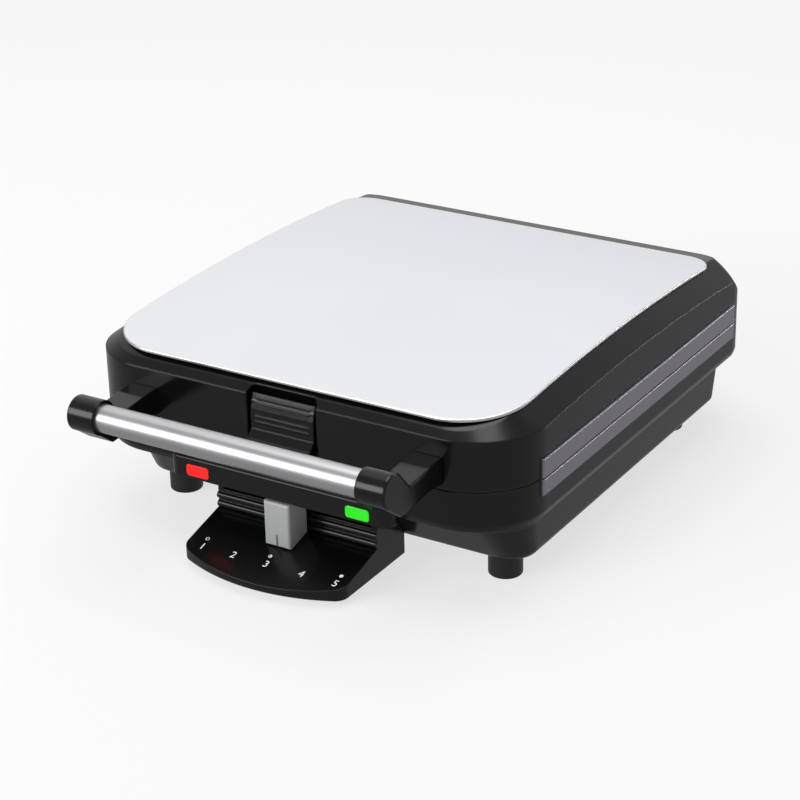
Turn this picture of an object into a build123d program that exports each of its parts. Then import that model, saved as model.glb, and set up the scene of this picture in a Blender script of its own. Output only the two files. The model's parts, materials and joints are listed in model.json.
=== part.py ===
"""Square Belgian waffle maker: a countertop cooker with a hinged lid, in millimetres, +Z up.

The front, with the handle and the browning control, faces -Y. The origin is on the table,
under the centre of the whole object's box. The lid is shut at rest.
"""

import math
import os

from build123d import *

os.makedirs("parts", exist_ok=True)

# Overall sizes of the two housings
body_width = 302.0
body_depth = 329.0
front_corner_radius = 45.0
rear_corner_radius = 24.0
wall = 2.6
running_gap = 0.3

# Heights above the table
foot_height = 16.0
tub_top_z = 41.5
shoulder_z = 52.0
shoulder_round = 3.5
shoulder_round_inset = 1.2
split_z = 77.5
split_gap = 0.6
crease_front_z = 101.0
crown_front_z = 117.0
crown_top_z = 124.0
crown_rear_z = 115.5
crown_overrun = 30.0

# The handle and the hinge set how far the object reaches past the housings
handle_reach = 52.0
cap_radius = 10.75
hinge_reach = 10.0
knuckle_radius = 8.5
total_depth = cap_radius + handle_reach + body_depth + hinge_reach + knuckle_radius
front_y = -total_depth / 2 + cap_radius + handle_reach
rear_y = front_y + body_depth
handle_y = front_y - handle_reach
hinge_y = rear_y + hinge_reach
hinge_z = split_z

# Lower tub of the base
tub_side_inset = 11.0
tub_front_inset = 27.0
tub_rear_inset = 15.0
tub_side_draft = 2.5
tub_front_draft = 16.0
tub_rear_draft = 3.0
tub_floor = 5.0
tub_edge_fillet = 5.0

# Silver strips on both sides
trim_proud = 1.5
lid_trim_height = 12.2
base_trim_height = 10.5
trim_front_setback = 39.0
trim_rear_setback = 26.0
trim_sink = 1.2

# Steel lid cover
cover_side_inset = 12.0
cover_front_inset = 6.5
cover_rear_inset = 27.0
cover_sheet = 1.8
cover_rise = 0.6
cover_front_radius = 40.0
cover_rear_radius = 20.0
cover_ledge = 9.0
bevel_drop = 17.0
front_bevel_drop = 16.5
deck_thickness = 5.0
plate_ledge = 5.0

# Cooking plates
plate_edge_margin = 20.0
plate_width = body_width - 2 * plate_edge_margin
plate_depth = plate_width
plate_sheet = 3.0
plate_flange = 7.0
plate_corner_radius = 14.0
pan_depth = 13.0
pan_draft = 2.0
stud_rows = 4
stud_height = 9.0
divider_width = 5.0
divider_height = 10.0
stud_field = plate_width / 2 - plate_flange - plate_sheet - divider_width / 2
stud_pitch = 0.96 * stud_field / stud_rows
stud_base = 0.6 * stud_pitch
plate_centre_y = front_y + body_depth / 2

# Heating elements and heat shields
heater_radius = 3.3
heater_span_x = 0.67 * plate_width
heater_span_y = 0.65 * plate_width
heater_bend_radius = 15.0
heater_tail = 34.0
shield_sheet = 0.8
shield_size = plate_width - 16.0
shield_lip = 6.0
shield_standoff = 9.6

# Handle
tube_radius = 8.5
tube_wall = 1.2
arm_outer_x = body_width / 2 - front_corner_radius + 3.0
arm_inner_x = arm_outer_x - 19.0
cap_socket_depth = 4.0
handle_z = 99.0
arm_top_z = 97.6
arm_bottom_z = 80.6

# Lid latch
latch_width = 44.0
latch_pocket_margin = 2.4
latch_pocket_bottom_z = 81.0
latch_pocket_top_z = 113.0
latch_pocket_depth = 10.0
latch_pocket_round = 4.5
latch_pivot_z = 103.0
latch_pivot_setback = 4.6
latch_barrel_radius = 3.0
latch_pin_radius = 1.5
latch_pin_clearance = 0.06
latch_tip_z = 66.0
latch_thickness = 3.6

# Browning control: light bar, control box and scale tongue
box_half_width = 57.0
bar_half_width = box_half_width + 21.0
bar_proud = 9.0
bar_bottom_z = 48.0
bar_top_z = 62.0
bar_end_radius = 7.0
box_front_setback = 11.0
box_rear_setback = 41.0
tongue_bottom_z = 4.0
tongue_back_z = 21.8
tongue_front_z = 8.8
tongue_reach = 52.0
tongue_corner_reach = 38.0
tongue_corner_radius = 9.0
slot_half_length = box_half_width - 4.0
slot_bottom_z = 34.0
slot_top_z = 41.0
ridge_radius = 2.2
lens_width = 16.0
lens_height = 7.4
lens_corner_radius = 1.8
lens_depth = 3.0
lens_z = 53.6
lens_x = bar_half_width - 21.5
knob_width = 18.0
knob_reach = 10.0
knob_top_z = 46.6
knob_clearance = 0.6
stem_half_width = 4.0
slider_travel = slot_half_length - stem_half_width - 3.0

# Feet, screws and the cord gland
foot_radius = 10.5
foot_x = body_width / 2 - 34.0
foot_rear_x = body_width / 2 - 38.0
foot_front_setback = 57.6
foot_rear_setback = 41.0
foot_stem_radius = 4.0
foot_stem_rise = 2.2
bottom_sheet = 2.4
bottom_rebate_inset = 6.0
bottom_rim_inset = 20.0
screw_radius = 1.6
screw_head_radius = 3.2
screw_head_height = 2.0
gland_radius = 3.8
gland_flange_radius = 8.5
gland_x = -(body_width / 2 - 59.0)
gland_z = 30.0
hinge_x = body_width / 2 - 67.0
bracket_thickness = 3.0
ear_width = 9.0
knuckle_width = 26.0
hinge_pin_radius = 3.0
hinge_pin_clearance = 0.05
hinge_side_gap = 0.4


def finish(part, name):
    """Labels a finished piece and writes it as one STEP file."""
    part.label = name
    export_step(part, f"parts/{name}.step")
    return part


def plan(width, y_front, y_rear, front_radius, rear_radius):
    """A housing outline seen from above: a rectangle with wide front and tight rear corners."""
    with BuildSketch(mode=Mode.PRIVATE) as outline:
        with Locations((0, (y_front + y_rear) / 2)):
            Rectangle(width, y_rear - y_front)
        fillet(outline.vertices().group_by(Axis.Y)[0], front_radius)
        fillet(outline.vertices().group_by(Axis.Y)[-1], rear_radius)
    return outline.sketch


def inset_plan(side, front, rear):
    """The housing outline drawn in by a different amount at the sides, front and rear."""
    return plan(
        body_width - 2 * side,
        front_y + front,
        rear_y - rear,
        max(front_corner_radius - (side + front) / 2, 3.0),
        max(rear_corner_radius - (side + rear) / 2, 3.0),
    )


def box_between(low, high):
    """A box given by its lowest and highest corners."""
    size = [high[i] - low[i] for i in range(3)]
    middle = [(high[i] + low[i]) / 2 for i in range(3)]
    return Pos(*middle) * Box(*size, mode=Mode.PRIVATE)


def rod(radius, start, end):
    """A round rod from one point to another."""
    along = Vector(*end) - Vector(*start)
    return Plane(origin=start, z_dir=along) * Cylinder(
        radius,
        along.length,
        align=(Align.CENTER, Align.CENTER, Align.MIN),
        mode=Mode.PRIVATE,
    )


def crown_height(y):
    """Height of the lid's crowned top at a place along Y: one arc through three heights."""
    middle_y = (front_y + rear_y) / 2
    half = (rear_y - front_y) / 2
    chord_z = (crown_front_z + crown_rear_z) / 2
    rise = crown_top_z - chord_z
    radius = (half**2 + rise**2) / (2 * rise)
    tilt = (crown_rear_z - crown_front_z) / (2 * half) * (y - middle_y)
    return crown_top_z - radius + math.sqrt(radius**2 - (y - middle_y) ** 2) + tilt


def crown_solid(drop):
    """Everything under the lid's crowned top, lowered by drop: an arc that runs past front and rear."""
    start_y = front_y - crown_overrun
    end_y = rear_y + crown_overrun
    with BuildPart(mode=Mode.PRIVATE) as crown:
        with BuildSketch(Plane.YZ):
            with BuildLine():
                middle_y = (front_y + rear_y) / 2
                ThreePointArc(
                    (start_y, crown_height(start_y) - drop),
                    (middle_y, crown_height(middle_y) - drop),
                    (end_y, crown_height(end_y) - drop),
                )
                Polyline(
                    (end_y, crown_height(end_y) - drop),
                    (end_y, 0),
                    (start_y, 0),
                    (start_y, crown_height(start_y) - drop),
                )
            make_face()
        extrude(amount=body_width, both=True)
    return crown.part


def plate_plan(grow):
    """The cooking plate's outline, a square with rounded corners, grown or shrunk all round."""
    radius = plate_corner_radius + grow
    with BuildSketch(mode=Mode.PRIVATE) as outline:
        with Locations((0, plate_centre_y)):
            RectangleRounded(plate_width + 2 * grow, plate_depth + 2 * grow, radius)
    return outline.sketch


def slab(width, depth, low_z, high_z, radius):
    """A flat block with rounded corners, centred over the cooking plates."""
    with BuildPart(mode=Mode.PRIVATE) as body:
        with BuildSketch(Plane.XY.offset(low_z)):
            with Locations((0, plate_centre_y)):
                RectangleRounded(width, depth, radius)
        extrude(amount=high_z - low_z)
    return body.part


def mirrored(part):
    """The same part turned over about the height where the housings meet."""
    return mirror(part, about=Plane.XY.offset(split_z))


def lofted(lower, lower_z, upper, upper_z):
    """A solid that runs straight from one outline to another one above it."""
    with BuildPart(mode=Mode.PRIVATE) as body:
        with BuildSketch(Plane.XY.offset(lower_z)):
            add(lower)
        with BuildSketch(Plane.XY.offset(upper_z)):
            add(upper)
        loft(ruled=True)
    return body.part


def prism(outline, low_z, high_z):
    """An outline extruded between two heights."""
    with BuildPart(mode=Mode.PRIVATE) as body:
        with BuildSketch(Plane.XY.offset(low_z)):
            add(outline)
        extrude(amount=high_z - low_z)
    return body.part


base_top_z = split_z - split_gap / 2
lid_bottom_z = split_z + split_gap / 2
tub_top = (tub_side_inset, tub_front_inset, tub_rear_inset)
tub_bottom = (
    tub_side_inset + tub_side_draft,
    tub_front_inset + tub_front_draft,
    tub_rear_inset + tub_rear_draft,
)
box_front_y = front_y + box_front_setback
box_rear_y = front_y + box_rear_setback
bar_front_y = front_y - bar_proud


def housing_solid(shrink, floor_z, top_z):
    """The base housing as a closed solid, drawn in by shrink on every side."""
    top = inset_plan(shrink, shrink, shrink)
    shoulder = inset_plan(*[inset + shrink for inset in tub_top])
    bottom = inset_plan(*[inset + shrink for inset in tub_bottom])
    turn = inset_plan(*[shrink + shoulder_round_inset] * 3)
    upper = prism(top, shoulder_z + shoulder_round, top_z)
    upper += lofted(turn, shoulder_z, top, shoulder_z + shoulder_round)
    bevel = lofted(shoulder, tub_top_z, turn, shoulder_z)
    tub = lofted(bottom, floor_z, shoulder, tub_top_z)
    return upper + bevel + tub


def trim_strip(side, proud, low_z, high_z):
    """A strip let into the side of a housing; side is -1 for left and 1 for right."""
    inner = side * (body_width / 2 - trim_sink)
    outer = side * (body_width / 2 + proud)
    return box_between(
        (min(inner, outer), front_y + trim_front_setback, low_z),
        (max(inner, outer), rear_y - trim_rear_setback, high_z),
    )


plate_screw_edge = plate_width / 2 - plate_flange / 2
plate_screw_points = [
    (across * plate_screw_edge, plate_centre_y + along * 0.27 * plate_width)
    for across in (-1, 1)
    for along in (-1, 1)
]
control_screw_x = (-30.0, 30.0)
control_screw_z = 59.3


# Base housing: one moulding with a shoulder, a drafted tub, hinge ears and screw bosses
ear_inner_x = knuckle_width / 2 + hinge_side_gap
screw_inset = (bottom_rebate_inset + bottom_rim_inset) / 2
rim_plan = inset_plan(*[inset + bottom_rim_inset for inset in tub_bottom])
rebate_plan = inset_plan(*[inset + bottom_rebate_inset for inset in tub_bottom])
screw_x = body_width / 2 - tub_bottom[0] - screw_inset
screw_front_y = front_y + tub_bottom[1] + screw_inset
screw_rear_y = rear_y - tub_bottom[2] - screw_inset
screw_middle_y = (screw_front_y + screw_rear_y) / 2
screw_pitch = (screw_rear_y - screw_front_y) / 4
bottom_screw_points = [
    (side * screw_x, y)
    for side in (-1, 1)
    for y in (screw_middle_y - screw_pitch, screw_middle_y, screw_middle_y + screw_pitch)
]
floor_top_z = foot_height + tub_floor
boss_radius = 4.0
boss_height = 9.0

with BuildPart() as base_shell:
    add(housing_solid(0, foot_height, base_top_z))
    fillet(base_shell.edges().group_by(Axis.Z)[0], tub_edge_fillet)
    add(housing_solid(wall, floor_top_z, base_top_z - deck_thickness), mode=Mode.SUBTRACT)
    add(
        prism(plate_plan(-plate_ledge), base_top_z - deck_thickness - 1, base_top_z),
        mode=Mode.SUBTRACT,
    )
    add(prism(plate_plan(0), base_top_z - plate_sheet, base_top_z), mode=Mode.SUBTRACT)
    add(prism(rim_plan, foot_height, floor_top_z), mode=Mode.SUBTRACT)
    add(prism(rebate_plan, foot_height, foot_height + bottom_sheet), mode=Mode.SUBTRACT)
    add(
        box_between(
            (-box_half_width - running_gap, front_y, foot_height - 1),
            (box_half_width + running_gap, box_rear_y, shoulder_z + running_gap),
        ),
        mode=Mode.SUBTRACT,
    )
    with Locations(*[(x, y, floor_top_z) for x, y in bottom_screw_points]):
        Cylinder(boss_radius, boss_height, align=(Align.CENTER, Align.CENTER, Align.MIN))
    with Locations(*[(x, y, foot_height) for x, y in bottom_screw_points]):
        Cylinder(
            screw_radius + running_gap,
            tub_floor + boss_height - 2.0,
            align=(Align.CENTER, Align.CENTER, Align.MIN),
            mode=Mode.SUBTRACT,
        )
    for side in (-1, 1):
        add(trim_strip(side, 0, base_top_z - base_trim_height, base_top_z), mode=Mode.SUBTRACT)
    for x in control_screw_x:
        add(
            rod(screw_radius, (x, front_y - 1, control_screw_z), (x, front_y + wall, control_screw_z)),
            mode=Mode.SUBTRACT,
        )
    for x, y in plate_screw_points:
        add(
            rod(screw_radius, (x, y, base_top_z - deck_thickness - 1), (x, y, base_top_z)),
            mode=Mode.SUBTRACT,
        )
    add(
        rod(
            gland_radius + 2.4,
            (gland_x, rear_y - tub_rear_inset - 20, gland_z),
            (gland_x, rear_y, gland_z),
        ),
        mode=Mode.SUBTRACT,
    )
finish(base_shell.part, "base_shell")

# Hinge brackets: on the base's rear wall, two ears each; on the lid's rear wall, one knuckle each
for hand, side in (("left", -1), ("right", 1)):
    with BuildPart() as base_bracket:
        for ear in (-1, 1):
            low_x = side * hinge_x + ear * (ear_inner_x + ear_width / 2) - ear_width / 2
            high_x = low_x + ear_width
            add(rod(knuckle_radius, (low_x, hinge_y, hinge_z), (high_x, hinge_y, hinge_z)))
            add(
                box_between(
                    (low_x, rear_y, hinge_z - knuckle_radius),
                    (high_x, hinge_y, hinge_z - 2 * running_gap),
                )
            )
        reach = ear_inner_x + ear_width
        add(
            box_between(
                (side * hinge_x - reach, rear_y, hinge_z - knuckle_radius - 7.0),
                (side * hinge_x + reach, rear_y + bracket_thickness, hinge_z - knuckle_radius - 1.6),
            )
        )
        for ear in (-1, 1):
            low_x = side * hinge_x + ear * (ear_inner_x + ear_width / 2) - ear_width / 2
            add(
                box_between(
                    (low_x, rear_y, hinge_z - knuckle_radius - 7.0),
                    (low_x + ear_width, rear_y + bracket_thickness + 2.0, hinge_z - knuckle_radius),
                )
            )
        add(
            rod(
                hinge_pin_radius + hinge_pin_clearance,
                (side * hinge_x - reach - 1, hinge_y, hinge_z),
                (side * hinge_x + reach + 1, hinge_y, hinge_z),
            ),
            mode=Mode.SUBTRACT,
        )
    finish(base_bracket.part, f"hinge_bracket_{hand}")
    with BuildPart() as lid_bracket:
        low_x = side * hinge_x - knuckle_width / 2
        high_x = side * hinge_x + knuckle_width / 2
        add(rod(knuckle_radius, (low_x, hinge_y, hinge_z), (high_x, hinge_y, hinge_z)))
        add(
            box_between(
                (low_x, rear_y, hinge_z + 2 * running_gap),
                (high_x, hinge_y, hinge_z + knuckle_radius),
            )
        )
        add(
            box_between(
                (low_x, rear_y, hinge_z + knuckle_radius),
                (high_x, rear_y + bracket_thickness + 2.0, hinge_z + knuckle_radius + 7.0),
            )
        )
        add(
            rod(
                hinge_pin_radius + hinge_pin_clearance,
                (low_x - 1, hinge_y, hinge_z),
                (high_x + 1, hinge_y, hinge_z),
            ),
            mode=Mode.SUBTRACT,
        )
    finish(lid_bracket.part, f"lid_knuckle_{hand}")

# Silver strips beside the split: two on the base and two on the lid
strips = {
    "base_trim_left": (-1, base_top_z - base_trim_height, base_top_z),
    "base_trim_right": (1, base_top_z - base_trim_height, base_top_z),
    "lid_trim_left": (-1, lid_bottom_z, lid_bottom_z + lid_trim_height),
    "lid_trim_right": (1, lid_bottom_z, lid_bottom_z + lid_trim_height),
}
for strip_name, (side, low_z, high_z) in strips.items():
    with BuildPart() as strip:
        add(trim_strip(side, trim_proud, low_z, high_z))
        face_edges = strip.faces().sort_by(Axis.X)[-1 if side > 0 else 0].edges()
        fillet(face_edges, 0.8)
    finish(strip.part, strip_name)

# Bottom cover with vent slots, its screws and the four feet
foot_points = {
    "foot_front_left": (-foot_x, front_y + foot_front_setback),
    "foot_front_right": (foot_x, front_y + foot_front_setback),
    "foot_rear_left": (-foot_rear_x, rear_y - foot_rear_setback),
    "foot_rear_right": (foot_rear_x, rear_y - foot_rear_setback),
}
cover_plan = inset_plan(*[inset + bottom_rebate_inset + running_gap / 2 for inset in tub_bottom])
with BuildPart() as bottom_cover:
    add(prism(cover_plan, foot_height, foot_height + bottom_sheet))
    with BuildSketch(Plane.XY.offset(foot_height)):
        for row in (-1, 1):
            with Locations((0, screw_middle_y + row * 0.8 * screw_pitch)):
                with GridLocations(12.0, 1.0, 13, 1):
                    SlotOverall(34.0, 4.0, rotation=90)
        with Locations(*foot_points.values()):
            Circle(foot_stem_radius)
        with Locations(*bottom_screw_points):
            Circle(screw_radius)
    extrude(amount=bottom_sheet, mode=Mode.SUBTRACT)
finish(bottom_cover.part, "bottom_cover")

with BuildPart() as bottom_screws:
    for x, y in bottom_screw_points:
        add(rod(screw_head_radius, (x, y, foot_height - screw_head_height), (x, y, foot_height)))
        add(rod(screw_radius, (x, y, foot_height), (x, y, foot_height + 10.0)))
finish(bottom_screws.part, "bottom_screws")

for foot_name, (x, y) in foot_points.items():
    with BuildPart() as foot:
        add(rod(foot_radius, (x, y, 0), (x, y, foot_height)))
        fillet(foot.edges().group_by(Axis.Z)[0], 1.2)
        add(rod(foot_stem_radius, (x, y, foot_height - 1), (x, y, foot_height + foot_stem_rise)))
    finish(foot.part, foot_name)

# Cooking plates: a flanged pan in four quarters, each with rows of pyramid studs
pan_top_z = base_top_z
pan_floor_z = base_top_z - pan_depth
pan_under_z = pan_floor_z - plate_sheet
pan_half = plate_width / 2 - plate_flange
boss_reach = pan_half - 16.0
shield_top_z = pan_under_z - shield_standoff
shield_boss_radius = 4.0
shield_points = [
    (across * boss_reach, plate_centre_y + along * boss_reach)
    for across in (-1, 1)
    for along in (-1, 1)
]

with BuildPart() as lower_plate:
    add(prism(plate_plan(0), base_top_z - plate_sheet, base_top_z))
    add(slab(2 * pan_half, 2 * pan_half, pan_under_z, base_top_z, plate_corner_radius - 4.0))
    with BuildSketch(Plane.XY.offset(base_top_z)):
        with Locations((0, plate_centre_y)):
            RectangleRounded(2 * (pan_half - plate_sheet), 2 * (pan_half - plate_sheet), 8.0)
    extrude(amount=-pan_depth, taper=8.0, mode=Mode.SUBTRACT)
    with Locations((0, plate_centre_y, pan_floor_z + divider_height / 2)):
        Box(divider_width, 2 * pan_half - 4 * plate_sheet, divider_height)
        Box(2 * pan_half - 4 * plate_sheet, divider_width, divider_height)
    stud_span = stud_pitch * (stud_rows - 1)
    quarter_centre = (pan_half - plate_sheet + divider_width / 2) / 2
    with BuildSketch(Plane.XY.offset(pan_floor_z)):
        for across in (-1, 1):
            for along in (-1, 1):
                with Locations((across * quarter_centre, plate_centre_y + along * quarter_centre)):
                    with GridLocations(stud_pitch, stud_pitch, stud_rows, stud_rows):
                        Rectangle(stud_base, stud_base)
    extrude(amount=stud_height, taper=14.0)
    for x, y in shield_points:
        add(rod(shield_boss_radius, (x, y, shield_top_z), (x, y, pan_under_z + 1)))
        add(
            rod(screw_radius, (x, y, shield_top_z), (x, y, shield_top_z + 8.0)),
            mode=Mode.SUBTRACT,
        )
    for x, y in plate_screw_points:
        add(
            rod(screw_radius, (x, y, base_top_z - plate_sheet), (x, y, base_top_z)),
            mode=Mode.SUBTRACT,
        )
        add(
            rod(screw_head_radius - 0.4, (x, y, base_top_z - 1.4), (x, y, base_top_z)),
            mode=Mode.SUBTRACT,
        )
finish(lower_plate.part, "lower_plate")
finish(mirrored(lower_plate.part), "upper_plate")

with BuildPart() as lower_plate_screws:
    for x, y in plate_screw_points:
        add(rod(screw_head_radius - 0.5, (x, y, base_top_z - 1.4), (x, y, base_top_z - 0.2)))
        add(rod(screw_radius, (x, y, base_top_z - 9.0), (x, y, base_top_z - 1.4)))
finish(lower_plate_screws.part, "lower_plate_screws")
finish(mirrored(lower_plate_screws.part), "upper_plate_screws")

# Heating elements: a bent tube under each plate with both ends towards the hinge
heater_z = pan_under_z - heater_radius
with BuildPart() as lower_heater:
    with BuildLine():
        near_y = plate_centre_y - heater_span_y / 2
        far_y = plate_centre_y + heater_span_y / 2
        half = heater_span_x / 2
        path = Polyline(
            (-heater_tail, far_y + 14.0, heater_z),
            (-heater_tail, far_y - 20.0, heater_z),
            (-half, far_y - 20.0, heater_z),
            (-half, near_y, heater_z),
            (half, near_y, heater_z),
            (half, far_y - 20.0, heater_z),
            (heater_tail, far_y - 20.0, heater_z),
            (heater_tail, far_y + 14.0, heater_z),
        )
        bends = [v for v in path.vertices() if v.Y < far_y]
        fillet(bends, heater_bend_radius)
    with BuildSketch(Plane(origin=(-heater_tail, far_y + 14.0, heater_z), z_dir=(0, -1, 0))):
        Circle(heater_radius)
    sweep()
    for side in (-1, 1):
        x = side * heater_tail
        add(rod(1.5, (x, far_y + 13.0, heater_z), (x, far_y + 22.0, heater_z)))
finish(lower_heater.part, "lower_heater")
finish(mirrored(lower_heater.part), "upper_heater")

# Heat shields: shallow trays under each plate, held on four bosses
with BuildPart() as lower_heat_shield:
    tray_z = shield_top_z - shield_sheet
    add(slab(shield_size, shield_size, tray_z, tray_z + shield_lip, 12.0))
    add(
        slab(
            shield_size - 2 * shield_sheet,
            shield_size - 2 * shield_sheet,
            shield_top_z,
            tray_z + shield_lip,
            12.0 - shield_sheet,
        ),
        mode=Mode.SUBTRACT,
    )
    with BuildSketch(Plane.XY.offset(tray_z)):
        with Locations(*shield_points):
            Circle(screw_radius)
        with Locations((0, plate_centre_y)):
            with GridLocations(0.25 * shield_size, 0.25 * shield_size, 3, 3):
                Circle(7.0)
    extrude(amount=shield_sheet, mode=Mode.SUBTRACT)
finish(lower_heat_shield.part, "lower_heat_shield")
finish(mirrored(lower_heat_shield.part), "upper_heat_shield")

with BuildPart() as lower_shield_screws:
    for x, y in shield_points:
        add(rod(screw_head_radius, (x, y, tray_z - screw_head_height), (x, y, tray_z)))
        add(rod(screw_radius, (x, y, tray_z), (x, y, tray_z + 7.0)))
finish(lower_shield_screws.part, "lower_shield_screws")
finish(mirrored(lower_shield_screws.part), "upper_shield_screws")

# Temperature parts against the lower plate
with BuildPart() as thermostat:
    add(rod(7.5, (0, plate_centre_y + 24.0, pan_under_z - 6.0), (0, plate_centre_y + 24.0, pan_under_z)))
    for side in (-1, 1):
        add(
            box_between(
                (side * 4.0 - 1.6, plate_centre_y + 23.6, pan_under_z - 9.0),
                (side * 4.0 + 1.6, plate_centre_y + 24.4, pan_under_z - 5.0),
            )
        )
finish(thermostat.part, "thermostat")

with BuildPart() as thermal_fuse:
    fuse_y = plate_centre_y - 30.0
    add(rod(2.0, (-8.0, fuse_y, pan_under_z - 2.0), (8.0, fuse_y, pan_under_z - 2.0)))
    add(rod(0.6, (-16.0, fuse_y, pan_under_z - 2.0), (16.0, fuse_y, pan_under_z - 2.0)))
finish(thermal_fuse.part, "thermal_fuse")


def tongue_top(y):
    """Height of the sloping scale tongue at a place along Y."""
    back_y = box_front_y
    slope = (tongue_back_z - tongue_front_z) / tongue_reach
    return tongue_back_z + slope * (y - back_y)


def tongue_outline(shrink):
    """The scale tongue seen from above, with its rounded front."""
    half = box_half_width - shrink
    corner_y = box_front_y - tongue_corner_reach + shrink
    front = box_front_y - tongue_reach + shrink
    with BuildSketch(mode=Mode.PRIVATE) as outline:
        with BuildLine():
            ThreePointArc((-half, corner_y), (0, front), (half, corner_y))
            Polyline((half, corner_y), (half, box_rear_y - shrink), (-half, box_rear_y - shrink), (-half, corner_y))
        make_face()
        fillet(outline.vertices().group_by(Axis.Y)[0], tongue_corner_radius)
    return outline.sketch


def below_slope(drop):
    """Everything under the tongue's sloping top, lowered by drop."""
    front = box_front_y - tongue_reach - 5.0
    with BuildPart(mode=Mode.PRIVATE) as wedge:
        with BuildSketch(Plane.YZ):
            with BuildLine():
                Polyline(
                    (front, -10.0),
                    (front, tongue_top(front) - drop),
                    (box_front_y, tongue_top(box_front_y) - drop),
                    (box_rear_y, tongue_top(box_front_y) - drop),
                    (box_rear_y, -10.0),
                    (front, -10.0),
                )
            make_face()
        extrude(amount=body_width / 2, both=True)
    return wedge.part


def lens_plan(grow):
    """The outline of an indicator lens, a slot shape."""
    with BuildSketch(mode=Mode.PRIVATE) as outline:
        RectangleRounded(lens_width + 2 * grow, lens_height + 2 * grow, lens_corner_radius)
    return outline.sketch


def lens_solid(x, front, back, grow):
    """A lens-shaped plug between two places along Y."""
    with BuildPart(mode=Mode.PRIVATE) as plug:
        with BuildSketch(Plane(origin=(x, front, lens_z), x_dir=(1, 0, 0), z_dir=(0, 1, 0))):
            add(lens_plan(grow))
        extrude(amount=back - front)
    return plug.part


# Control group: the scale tongue, the slider box on it and the light bar across the front
inner_wall = 2.5
lamp_radius = 2.0
lens_back_y = bar_front_y + lens_depth
with BuildPart() as scale_tongue:
    add(prism(tongue_outline(0), tongue_bottom_z, tongue_back_z + 1) & below_slope(0))
    fillet(scale_tongue.edges().group_by(Axis.Z)[0], 1.5)
    add(
        prism(tongue_outline(inner_wall), tongue_bottom_z, tongue_back_z) & below_slope(inner_wall),
        mode=Mode.SUBTRACT,
    )
finish(scale_tongue.part, "scale_tongue")

with BuildPart() as control_box:
    add(
        box_between(
            (-box_half_width, box_front_y, tongue_back_z),
            (box_half_width, box_rear_y, shoulder_z),
        )
    )
    add(
        box_between(
            (-box_half_width + inner_wall, box_front_y + inner_wall, tongue_back_z + inner_wall),
            (box_half_width - inner_wall, box_rear_y - inner_wall, shoulder_z - inner_wall),
        ),
        mode=Mode.SUBTRACT,
    )
    for ridge_z in (tongue_back_z + ridge_radius, tongue_back_z + 3.6 * ridge_radius):
        add(
            rod(
                ridge_radius,
                (-box_half_width, box_front_y + 0.3, ridge_z),
                (box_half_width, box_front_y + 0.3, ridge_z),
            )
        )
    add(
        box_between(
            (-slot_half_length, box_front_y - 3, slot_bottom_z),
            (slot_half_length, box_front_y + inner_wall, slot_top_z),
        ),
        mode=Mode.SUBTRACT,
    )
finish(control_box.part, "control_box")

with BuildPart() as light_bar:
    with BuildSketch(Plane.XY.offset(bar_bottom_z)) as bar_plan:
        with Locations((0, front_y - bar_proud / 2)):
            Rectangle(2 * bar_half_width, bar_proud)
        fillet(bar_plan.vertices().group_by(Axis.Y)[0], bar_end_radius)
    extrude(amount=bar_top_z - bar_bottom_z)
    bar_edges = light_bar.edges().filter_by(
        lambda e: e.center().Y < front_y - 1.0 and abs(e.center().Z - bar_top_z) < 0.01
    )
    fillet(bar_edges, 2.2)
    add(
        box_between(
            (-box_half_width, front_y - 1.0, bar_bottom_z),
            (box_half_width, box_front_y, shoulder_z),
        )
    )
    for x in (-lens_x, lens_x):
        add(lens_solid(x, bar_front_y - 1, lens_back_y, 0), mode=Mode.SUBTRACT)
        add(rod(lamp_radius, (x, lens_back_y - 1, lens_z), (x, front_y, lens_z)), mode=Mode.SUBTRACT)
    for x in control_screw_x:
        add(
            rod(screw_radius, (x, front_y - 6.0, control_screw_z), (x, front_y + 1, control_screw_z)),
            mode=Mode.SUBTRACT,
        )
finish(light_bar.part, "light_bar")

with BuildPart() as control_screws:
    for x in control_screw_x:
        inner_y = front_y + wall
        add(
            rod(
                screw_head_radius,
                (x, inner_y, control_screw_z),
                (x, inner_y + screw_head_height, control_screw_z),
            )
        )
        add(rod(screw_radius, (x, front_y - 5.0, control_screw_z), (x, inner_y + 0.5, control_screw_z)))
finish(control_screws.part, "control_screws")

for side, lens_name, lamp_name in ((-1, "power_lens", "power_lamp"), (1, "ready_lens", "ready_lamp")):
    x = side * lens_x
    with BuildPart() as lens:
        add(lens_solid(x, bar_front_y - 0.4, lens_back_y, 0))
    finish(lens.part, lens_name)
    with BuildPart() as lamp:
        add(rod(lamp_radius, (x, lens_back_y, lens_z), (x, front_y - 0.4, lens_z)))
    finish(lamp.part, lamp_name)

# Slider electrics inside the control housing
board_y = box_rear_y - inner_wall
board_sheet = 1.6
with BuildPart() as control_board:
    add(
        box_between(
            (-box_half_width + inner_wall, board_y - board_sheet, tongue_back_z + inner_wall),
            (box_half_width - inner_wall, board_y, shoulder_z - inner_wall - 1.0),
        )
    )
finish(control_board.part, "control_board")

track_front_y = board_y - board_sheet - 7.0
with BuildPart() as slide_potentiometer:
    add(
        box_between(
            (-box_half_width + 5.0, track_front_y, slot_bottom_z - 2.0),
            (box_half_width - 5.0, board_y - board_sheet, slot_top_z + 2.0),
        )
    )
    add(
        box_between(
            (-box_half_width + 7.0, track_front_y, slot_bottom_z + 2.0),
            (box_half_width - 7.0, track_front_y + 3.0, slot_top_z - 2.0),
        ),
        mode=Mode.SUBTRACT,
    )
finish(slide_potentiometer.part, "slide_potentiometer")

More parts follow.
